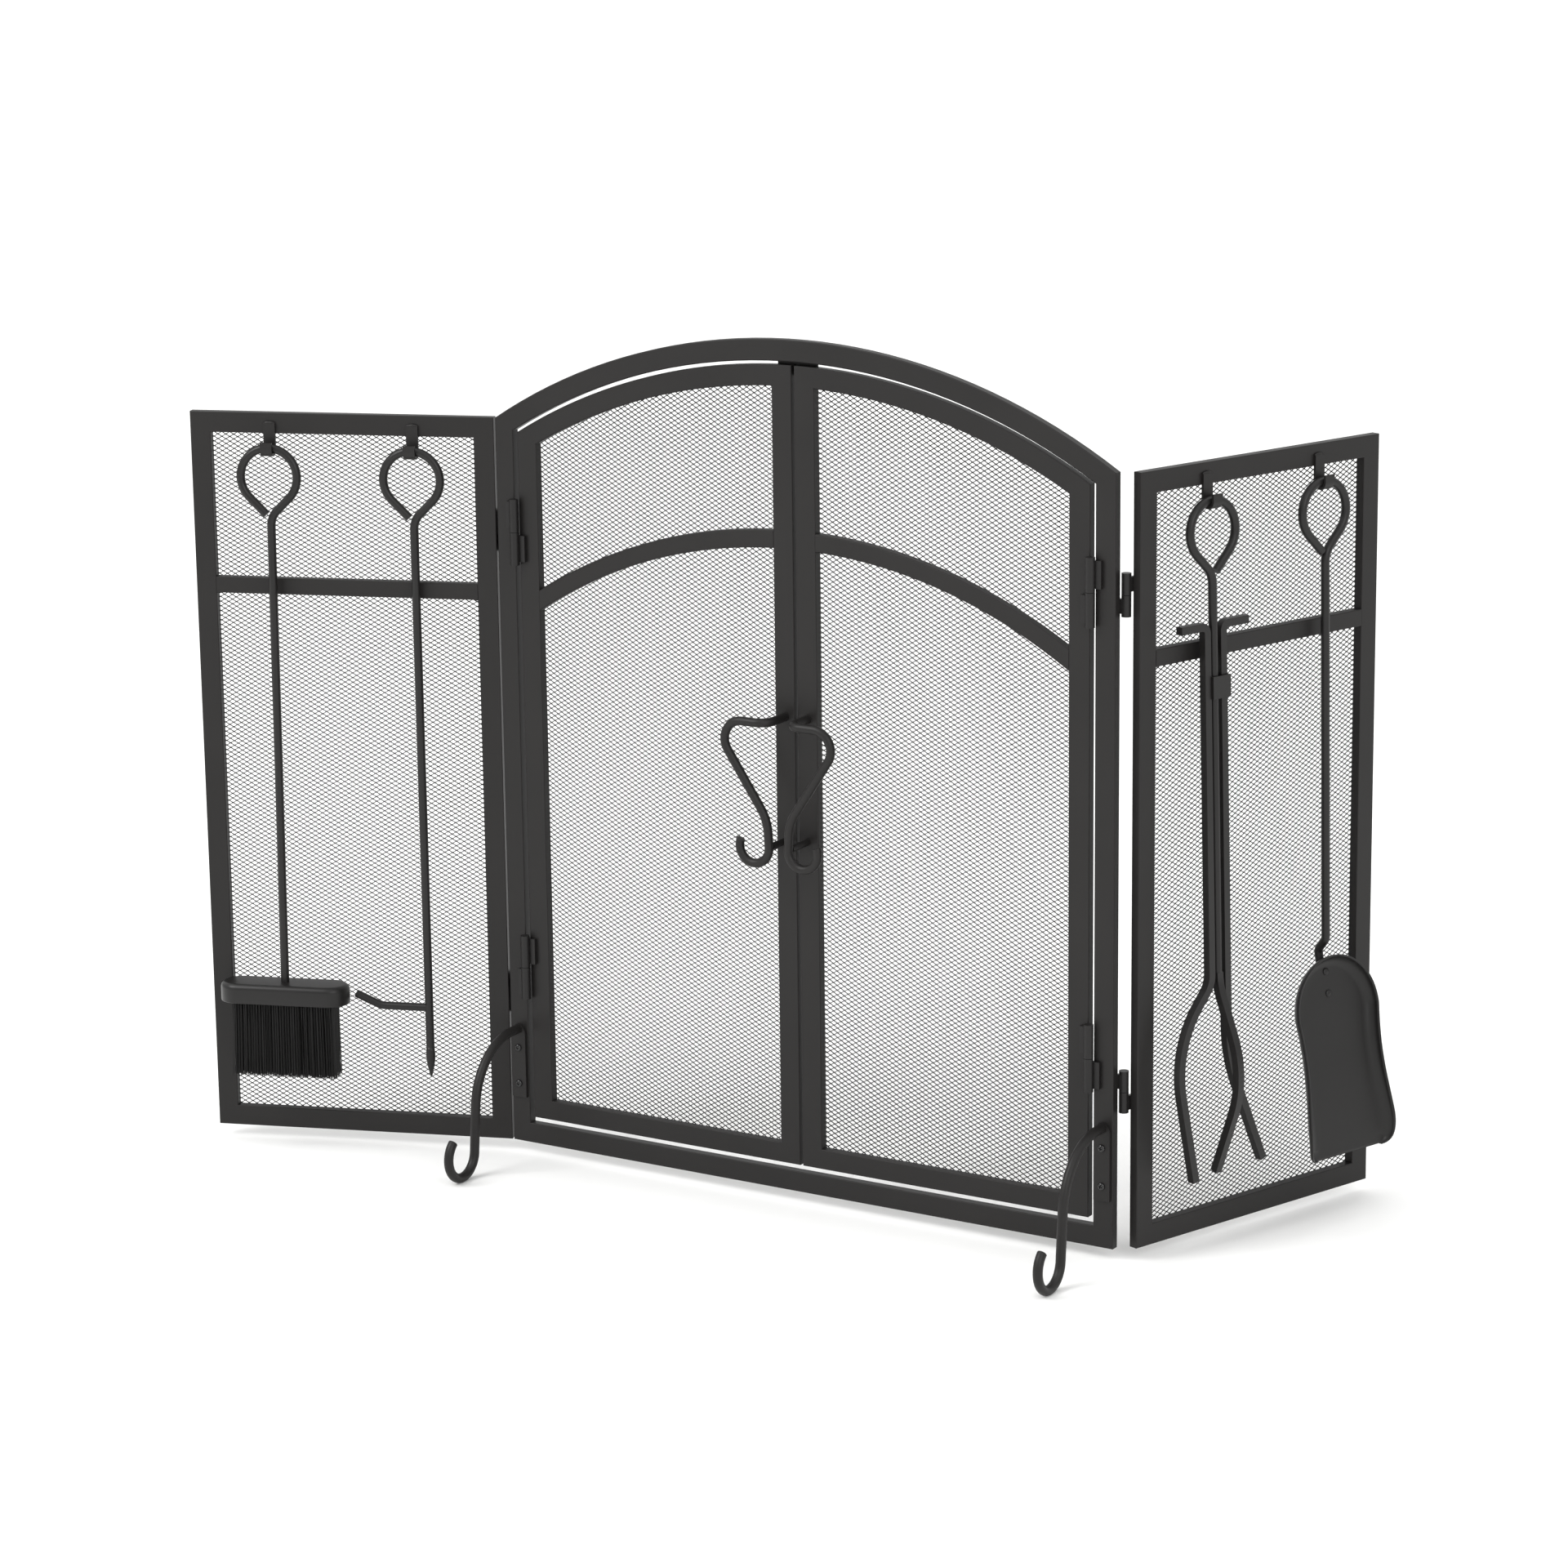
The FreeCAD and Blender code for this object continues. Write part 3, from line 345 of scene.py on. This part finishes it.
def bristle_block():
    """Stiff fibres scattered under the cap, a little bowed and splayed, cut to slightly uneven lengths."""
    origin, (across, up, out), low, high = extent("brush_bristles")
    middle = [(a + b) / 2 for a, b in zip(low, high)]
    half = [(b - a) / 2 for a, b in zip(low, high)]
    rings, sides = BRISTLE_RINGS, BRISTLE_SIDES
    verts, faces = [], []
    for _ in range(BRISTLES):
        u, w = random.uniform(-1, 1), random.uniform(-1, 1)
        bow = (random.gauss(0, BRISTLE_BOW), random.gauss(0, BRISTLE_BOW))
        tip = low[1] + abs(random.gauss(0, BRISTLE_CUT)) * random.choice(CUT_SPREAD)
        base = len(verts)
        for ring in range(rings):
            share = ring / (rings - 1)
            spread = ROOT_SHARE + (TIP_SHARE - ROOT_SHARE) * share ** 1.5
            x = middle[0] + u * half[0] * spread + bow[0] * math.sin(math.pi * share)
            z = middle[2] + w * half[2] * spread + bow[1] * math.sin(math.pi * share)
            y = high[1] + (tip - high[1]) * share
            radius = BRISTLE_RADIUS * (1 - BRISTLE_TAPER * share)
            for k in range(sides):
                angle = 2 * math.pi * k / sides + u * BRISTLE_TURN
                verts.append(origin + across * (x + radius * math.cos(angle)) + up * y
                             + out * (z + radius * math.sin(angle)))
        faces += ring_faces(rings, sides, base)
        faces.append(tuple(range(base, base + sides)))
        faces.append(tuple(range(base + sides * (rings - 1), base + sides * rings))[::-1])
    piece = add_piece("brush_fibres", verts, faces, "brush", BRISTLE)
    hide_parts("brush_bristles")


CRISP_ANGLE = math.radians(50)


def fix_normals(piece):
    """Points every face outward and keeps flat ends crisp."""
    mesh = bmesh.new()
    mesh.from_mesh(piece.data)
    bmesh.ops.recalc_face_normals(mesh, faces=mesh.faces)
    for edge in mesh.edges:
        edge.smooth = len(edge.link_faces) == 2 and edge.calc_face_angle(0) < CRISP_ANGLE
    mesh.to_mesh(piece.data)
    mesh.free()


CAP_SOFT_EDGE, CAP_ROLL, CAP_WALL = 5.5 * MM, 1.1 * MM, 1.4 * MM
CAP_ROLL_STEPS, CAP_EDGE_STEPS, CAP_END_STEPS = 4, 7, 20


def rounded_cap():
    """The brush's pressed cap: a slot-shaped cup with a soft top edge and a rolled lower edge."""
    origin, (across, up, out), low, high = extent("brush_cap")
    middle = [(a + b) / 2 for a, b in zip(low, high)]
    radius = (high[2] - low[2]) / 2
    straight = (high[0] - low[0]) / 2 - radius
    height = high[1] - low[1]
    profile = [(0.0, CAP_WALL * 2), (0.0, CAP_ROLL)]  # height above the rim and inset from the outline
    for k in range(1, CAP_ROLL_STEPS + 1):
        angle = math.pi / 2 * k / CAP_ROLL_STEPS
        profile.append((CAP_ROLL * (1 - math.cos(angle)), CAP_ROLL * (1 - math.sin(angle))))
    for k in range(CAP_EDGE_STEPS + 1):
        angle = math.pi / 2 * k / CAP_EDGE_STEPS
        profile.append((height - CAP_SOFT_EDGE * (1 - math.sin(angle)),
                        CAP_SOFT_EDGE * (1 - math.cos(angle))))
    verts, faces = [], []
    for y, inset in profile:
        for side in (1, -1):
            for k in range(CAP_END_STEPS + 1):
                angle = math.pi * (k / CAP_END_STEPS - 0.5) + (0 if side > 0 else math.pi)
                x = middle[0] + side * straight + (radius - inset) * math.cos(angle)
                z = middle[2] + (radius - inset) * math.sin(angle)
                verts.append(origin + across * x + up * (low[1] + y) + out * z)
    count = 2 * (CAP_END_STEPS + 1)
    faces += ring_faces(len(profile), count)
    faces.append(tuple(range(count)))
    faces.append(tuple(range((len(profile) - 1) * count, len(profile) * count)))
    piece = add_piece("brush_cap_pressed", verts, faces, "brush", TOOL, True)
    fix_normals(piece)
    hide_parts("brush_cap")


SCOOP_SHEET = 1.5 * MM
SCOOP_TOP_GAP = 1.3 * MM  # from the rim's edge to the CAD pan's
RIM_RUN = 10.2 * MM  # how far inside its edge the rim meets the floor
EDGE_INSET = 0.2 * MM  # how far inside the CAD pan's outline the edge lies
SCOOP_MERGE, SCOOP_SLIVER = 0.05 * MM, 0.02 * MM
SCOOP_STEPS, FLOOR_STEPS = 8, 5
MOUTH_ROUND = 0.16  # share of the length over which the rim rises from nothing
SPLAY_FROM, SPLAY_RUN, SPLAY_GAIN = 0.42, 0.35, 0.7  # the rim leans out more towards the mouth
CROWN_WIDTH, CROWN_START = 0.94, 0.72
CROWN_STEPS, CURVE_STEPS = 22, 3


def scoop_outline(half, length):
    """Right half of the shovel pan's outline, in shares of its half width and length, mouth to crown."""
    waist = [(0.74, 0.0), (0.87, 0.006), (0.95, 0.026), (0.985, 0.06), (0.995, 0.11), (0.985, 0.17),
             (0.945, 0.27), (0.90, 0.39), (0.885, 0.51), (0.905, 0.62), (CROWN_WIDTH, 0.71)]
    points = [Vector((x * half, y * length)) for x, y in waist]
    crown = length * CROWN_START
    for k in range(1, CROWN_STEPS + 1):
        angle = math.pi / 2 * k / CROWN_STEPS
        points.append(Vector((CROWN_WIDTH * half * math.cos(angle),
                              crown + (length - crown) * math.sin(angle))))
    smooth = []  # a Catmull-Rom curve through the points
    for k in range(len(points) - 1):
        a, b = points[max(k - 1, 0)], points[k]
        c, d = points[k + 1], points[min(k + 2, len(points) - 1)]
        for part in range(CURVE_STEPS):
            t = part / CURVE_STEPS
            smooth.append(0.5 * (2 * b + (c - a) * t + (2 * a - 5 * b + 4 * c - d) * t ** 2
                                 + (3 * b - a - 3 * c + d) * t ** 3))
    smooth.append(points[-1])
    return smooth


def shovel_scoop():
    """Pressed steel pan: a flat floor that rolls up into a rim, which flares and runs out at the mouth."""
    origin, (across, up, out), low, high = extent("shovel_pan")
    middle = (low[0] + high[0]) / 2
    half = (high[0] - low[0]) / 2
    length = high[1] - low[1]
    rim = high[2] - SCOOP_TOP_GAP
    right = scoop_outline(half, length)
    outline = right + [Vector((-p.x, p.y)) for p in right[-2::-1]]
    crown = length - half * CROWN_WIDTH
    verts, faces = [], []
    count = len(outline)
    for index, p in enumerate(outline):
        before, after = outline[max(index - 1, 0)], outline[min(index + 1, count - 1)]
        tangent = (after - before).normalized()
        inside = Vector((-tangent.y, tangent.x))
        share = min(max(p.y / (MOUTH_ROUND * length), 0), 1)
        rise = rim * math.sqrt(max(1 - (1 - share) ** 2, 0))
        splay = min(max((SPLAY_FROM - p.y / length) / SPLAY_RUN, 0), 1)
        edge = p + inside * EDGE_INSET
        flat = RIM_RUN * (1 + SPLAY_GAIN * splay) * rise / rim
        for k in range(SCOOP_STEPS + 1):
            angle = math.pi / 2 * k / SCOOP_STEPS
            point = edge + inside * (flat * (1 - math.cos(angle)) if k else 0)
            verts.append((point.x, point.y, rise * (1 - math.sin(angle))))
        rest = Vector((verts[-1][0], verts[-1][1]))
        spine = Vector((0, min(max(rest.y, 0), crown)))
        for k in range(1, FLOOR_STEPS + 1):
            point = rest.lerp(spine, k / FLOOR_STEPS)
            verts.append((point.x, point.y, 0.0))
    ring = SCOOP_STEPS + 1 + FLOOR_STEPS
    for index in range(count - 1):
        for k in range(ring - 1):
            a, b = index * ring + k, (index + 1) * ring + k
            faces.append((a, b, b + 1, a + 1))
    placed = [origin + across * (middle + x) + up * (low[1] + y) + out * z for x, y, z in verts]
    piece = add_piece("shovel_scoop", placed, faces, "shovel", TOOL, True)
    mesh = bmesh.new()
    mesh.from_mesh(piece.data)
    bmesh.ops.remove_doubles(mesh, verts=mesh.verts, dist=SCOOP_MERGE)
    bmesh.ops.dissolve_degenerate(mesh, edges=mesh.edges, dist=SCOOP_SLIVER)
    bmesh.ops.recalc_face_normals(mesh, faces=mesh.faces)
    mesh.normal_update()
    if sum(f.normal.dot(out) * f.calc_area() for f in mesh.faces) < 0:
        bmesh.ops.reverse_faces(mesh, faces=mesh.faces)
    mesh.to_mesh(piece.data)
    mesh.free()
    thick = piece.modifiers.new("sheet", "SOLIDIFY")
    thick.thickness = SCOOP_SHEET
    thick.offset = -1
    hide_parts("shovel_pan")


TOUCHING = 0.01 * MM


def clusters(node, count):
    """Splits a node's separate solids into vertex lists by what touches what."""
    mesh = bmesh.new()
    mesh.from_mesh(NODES[node].data)
    bmesh.ops.remove_doubles(mesh, verts=mesh.verts, dist=TOUCHING)
    waiting = set(mesh.verts)
    groups = []
    while waiting:
        stack = [waiting.pop()]
        group = []
        while stack:
            vert = stack.pop()
            group.append(vert.co.copy())
            for edge in vert.link_edges:
                other = edge.other_vert(vert)
                if other in waiting:
                    waiting.remove(other)
                    stack.append(other)
        groups.append(group)
    mesh.free()

    def place_of(group):
        return tuple(round(sum(p[k] for p in group) / len(group), 4) for k in (0, 2))
    groups.sort(key=place_of)
    return groups[:count]


def box_of(group, axis):
    """Middle of a cluster and its reach along an axis, low and high."""
    low = Vector([min(p[k] for p in group) for k in range(3)])
    high = Vector([max(p[k] for p in group) for k in range(3)])
    reach = [p.dot(axis) for p in group]
    return (low + high) / 2, min(reach), max(reach)


HEAD_RINGS, HEAD_SIDES = 26, 64
HEAD_MERGE = 0.002 * MM
SLOT_HALF_WIDTH, SLOT_REACH = 0.42 * MM, 1.9 * MM
SLOT_WALL, SLOT_RUN_OUT = 0.16 * MM, 0.3 * MM  # how wide the slot's sides and its ends' slopes are
SLOT_DEPTH, SLOT_SHARE = 1.3 * MM, 0.6  # the slot's depth, at most this share of the head's


def head_height(x, z, radius, depth, tilt):
    """Height of a domed head with a cross slot over a place on its seat."""
    share = math.hypot(x, z) / radius
    height = depth * math.sqrt(max(1 - share ** 4, 0))
    u = abs(x * math.cos(tilt) + z * math.sin(tilt))
    w = abs(-x * math.sin(tilt) + z * math.cos(tilt))
    sunk = min(max((SLOT_HALF_WIDTH - min(u, w)) / SLOT_WALL + 0.5, 0), 1)
    sunk *= min(max((SLOT_REACH - max(u, w)) / SLOT_RUN_OUT, 0), 1)
    return height - sunk * min(SLOT_DEPTH, depth * SLOT_SHARE)


def cross_slot_heads():
    """Pan-head screws with a cross recess that hold the foot plates."""
    out = Vector((0, -1, 0))
    rings, sides = HEAD_RINGS, HEAD_SIDES
    for number, group in enumerate(clusters("foot_screws", 4)):
        middle, low, high = box_of(group, out)
        radius = (max(p.z for p in group) - min(p.z for p in group)) / 2
        depth = high - low
        seat = Vector((middle.x, -low, middle.z))
        tilt = random.uniform(0, math.pi / 2)
        verts = []
        for ring in range(rings + 1):
            for k in range(sides):
                angle = 2 * math.pi * k / sides
                x, z = (radius * ring / rings * c for c in (math.cos(angle), math.sin(angle)))
                verts.append(seat + Vector((x, 0, z)) + out * head_height(x, z, radius, depth, tilt))
        faces = ring_faces(rings + 1, sides)
        faces.append(tuple(range(rings * sides, (rings + 1) * sides)))
        piece = add_piece(f"foot_screw_{number + 1}", verts, faces, "centre_frame", SCREW,
                          True)
        mesh = bmesh.new()
        mesh.from_mesh(piece.data)
        bmesh.ops.remove_doubles(mesh, verts=mesh.verts, dist=HEAD_MERGE)
        bmesh.ops.recalc_face_normals(mesh, faces=mesh.faces)
        mesh.to_mesh(piece.data)
        mesh.free()
        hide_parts("foot_screws")


RIVET_STEPS = 8
RIVET_TOP = 0.02 * MM  # radius of the tiny flat at the dome's top


def domed_rivets():
    """Low round rivet heads on the shovel pan."""
    out = extent("shovel_pan")[1][2]
    for number, group in enumerate(clusters("shovel_rivets", 2)):
        middle, low, high = box_of(group, out)
        seat = middle + out * (low - middle.dot(out))
        tall = high - low
        radius = (max(p.z for p in group) - min(p.z for p in group)) / 2
        angles = [math.pi / 2 * k / RIVET_STEPS for k in range(RIVET_STEPS + 1)]
        profile = [(tall * math.sin(a), radius * math.cos(a) + RIVET_TOP) for a in angles]
        piece = turned(f"shovel_rivet_{number + 1}", profile, seat, out, "shovel", TOOL)
        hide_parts("shovel_rivets")


# share of the way down, radius against the rod's
POINT_SHAPE = [(0, 1), (0.12, 1.05), (0.25, 1.14), (0.38, 1.12), (0.52, 0.98),
               (0.68, 0.76), (0.83, 0.5), (0.93, 0.32), (0.98, 0.2), (1.0, 0.06)]


def forged_point():
    """Poker tip: the rod swells a little, then draws down to a blunt point."""
    low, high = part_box("poker_point")
    middle = Vector(((low[0] + high[0]) / 2, (low[1] + high[1]) / 2, high[2]))
    rod = (high[0] - low[0]) / 2
    length = high[2] - low[2]
    profile = [(length * down, rod * width) for down, width in POINT_SHAPE]
    piece = turned("poker_forged_point", profile, middle, Vector((0, 0, -1)), "poker", TOOL)
    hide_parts("poker_point")


HOOK_BEAD_WIDTH = 1.05  # against the hook strip's own
HOOK_BEAD = (2.0 * MM, 1.5 * MM)  # half height and half depth
HOOK_BEAD_PROUD = 1.0 * MM
BAR_BEAD = (3.2 * MM, 1.3 * MM, 3.0 * MM)
BAR_BEAD_INSET = 2.2 * MM


def wing_beads():
    """Weld beads where each hook strip meets the top rail and under the crossbar's ends."""
    for side in ("left", "right"):
        body = f"{side}_wing"
        for where in ("inner", "outer"):
            origin, axes, low, high = extent(f"{side}_wing_{where}_hook")
            middle = (low[0] + high[0]) / 2
            half = (high[0] - low[0]) / 2
            rail = extent(f"{side}_wing_top_rail")
            front = rail[0].dot(rail[1][2]) + rail[3][2]
            place = origin + axes[0] * middle + axes[1] * high[1]
            place += axes[2] * (front - place.dot(axes[2]) + HOOK_BEAD_PROUD)
            weld_bead(f"{side}_{where}_hook_weld", place, axes, (half * HOOK_BEAD_WIDTH, *HOOK_BEAD),
                      body)
        origin, axes, low, high = extent(f"{side}_wing_crossbar")
        for end, x in (("near", low[0] + BAR_BEAD_INSET), ("far", high[0] - BAR_BEAD_INSET)):
            place = origin + axes[0] * x + axes[1] * low[1] + axes[2] * ((low[2] + high[2]) / 2)
            weld_bead(f"{side}_crossbar_{end}_weld", place, axes, BAR_BEAD, body)


bristle_block()
rounded_cap()
shovel_scoop()
cross_slot_heads()
domed_rivets()
forged_point()
wing_beads()

# ---------------------------------------------------------------- stage, light and camera

STAGE_COLOUR = (0.93, 0.93, 0.92, 1)
STAGE_ROUGHNESS = 0.9
STAGE_REACH = 30


def make_stage():
    """A pale matt floor that runs out past the picture on every side."""
    corners = [(x * STAGE_REACH, y * STAGE_REACH, 0) for x, y in ((-1, -1), (1, -1), (1, 1), (-1, 1))]
    mesh = bpy.data.meshes.new("floor")
    mesh.from_pydata(corners, [], [(0, 1, 2, 3)])
    floor = bpy.data.objects.new("floor", mesh)
    material, tree, shader = node_material("floor_paint")
    shader.inputs["Base Color"].default_value = STAGE_COLOUR
    shader.inputs["Roughness"].default_value = STAGE_ROUGHNESS
    mesh.materials.append(material)
    bpy.context.scene.collection.objects.link(floor)


def area_light(name, place, target, size, power):
    """A soft box at a place, turned towards a target."""
    data = bpy.data.lights.new(name, "AREA")
    data.shape = "RECTANGLE"
    data.size, data.size_y = size
    data.energy = power
    lamp = bpy.data.objects.new(name, data)
    lamp.location = place
    lamp.rotation_mode = "QUATERNION"
    lamp.rotation_quaternion = (Vector(target) - Vector(place)).to_track_quat("-Z", "Y")
    bpy.context.scene.collection.objects.link(lamp)


HORIZON_STRENGTH, OVERHEAD_STRENGTH = 0.62, 1.5


def make_world():
    """A white studio dome, brighter overhead than at the horizon."""
    world = bpy.data.worlds.new("studio")
    world.use_nodes = True
    tree = world.node_tree
    background = tree.nodes["Background"]
    background.inputs["Color"].default_value = (1, 1, 1, 1)
    coords = tree.nodes.new("ShaderNodeTexCoord")
    axes = tree.nodes.new("ShaderNodeSeparateXYZ")
    climb = tree.nodes.new("ShaderNodeMapRange")
    climb.inputs["From Min"].default_value = 0.0
    climb.inputs["From Max"].default_value = 1.0
    climb.inputs["To Min"].default_value = HORIZON_STRENGTH
    climb.inputs["To Max"].default_value = OVERHEAD_STRENGTH
    link(tree, coords.outputs["Generated"], axes.inputs["Vector"])
    link(tree, axes.outputs["Z"], climb.inputs["Value"])
    link(tree, climb.outputs["Result"], background.inputs["Strength"])
    bpy.context.scene.world = world


make_stage()
make_world()
bpy.context.scene.view_settings.view_transform = "Standard"
area_light("key", (-2.4, -3.1, 3.8), (0, 0, 0.5), (2.4, 2.4), 130)
area_light("fill", (3.4, -2.2, 2.2), (0.1, 0, 0.4), (2.0, 2.0), 40)

CAMERA_PLACE = Vector((2.150, -3.509, 1.405))
CAMERA_YAW, CAMERA_PITCH, CAMERA_ROLL = (math.radians(a) for a in (31.66, 13.71, -0.72))
CAMERA_LENS, CAMERA_SENSOR = 107.4, 36


def make_camera():
    """The picture's camera: turned left and down from its place, then rolled a little."""
    forward = Vector((-math.sin(CAMERA_YAW) * math.cos(CAMERA_PITCH),
                      math.cos(CAMERA_YAW) * math.cos(CAMERA_PITCH), -math.sin(CAMERA_PITCH)))
    level = Vector((math.cos(CAMERA_YAW), math.sin(CAMERA_YAW), 0))
    above = level.cross(forward)
    right = level * math.cos(CAMERA_ROLL) + above * math.sin(CAMERA_ROLL)
    up = above * math.cos(CAMERA_ROLL) - level * math.sin(CAMERA_ROLL)
    data = bpy.data.cameras.new("camera")
    data.lens = CAMERA_LENS
    data.sensor_width = CAMERA_SENSOR
    camera = bpy.data.objects.new("camera", data)
    turn = Matrix((right, up, -forward)).transposed()
    camera.matrix_world = Matrix.Translation(CAMERA_PLACE) @ turn.to_4x4()
    bpy.context.scene.collection.objects.link(camera)
    bpy.context.scene.camera = camera


make_camera()
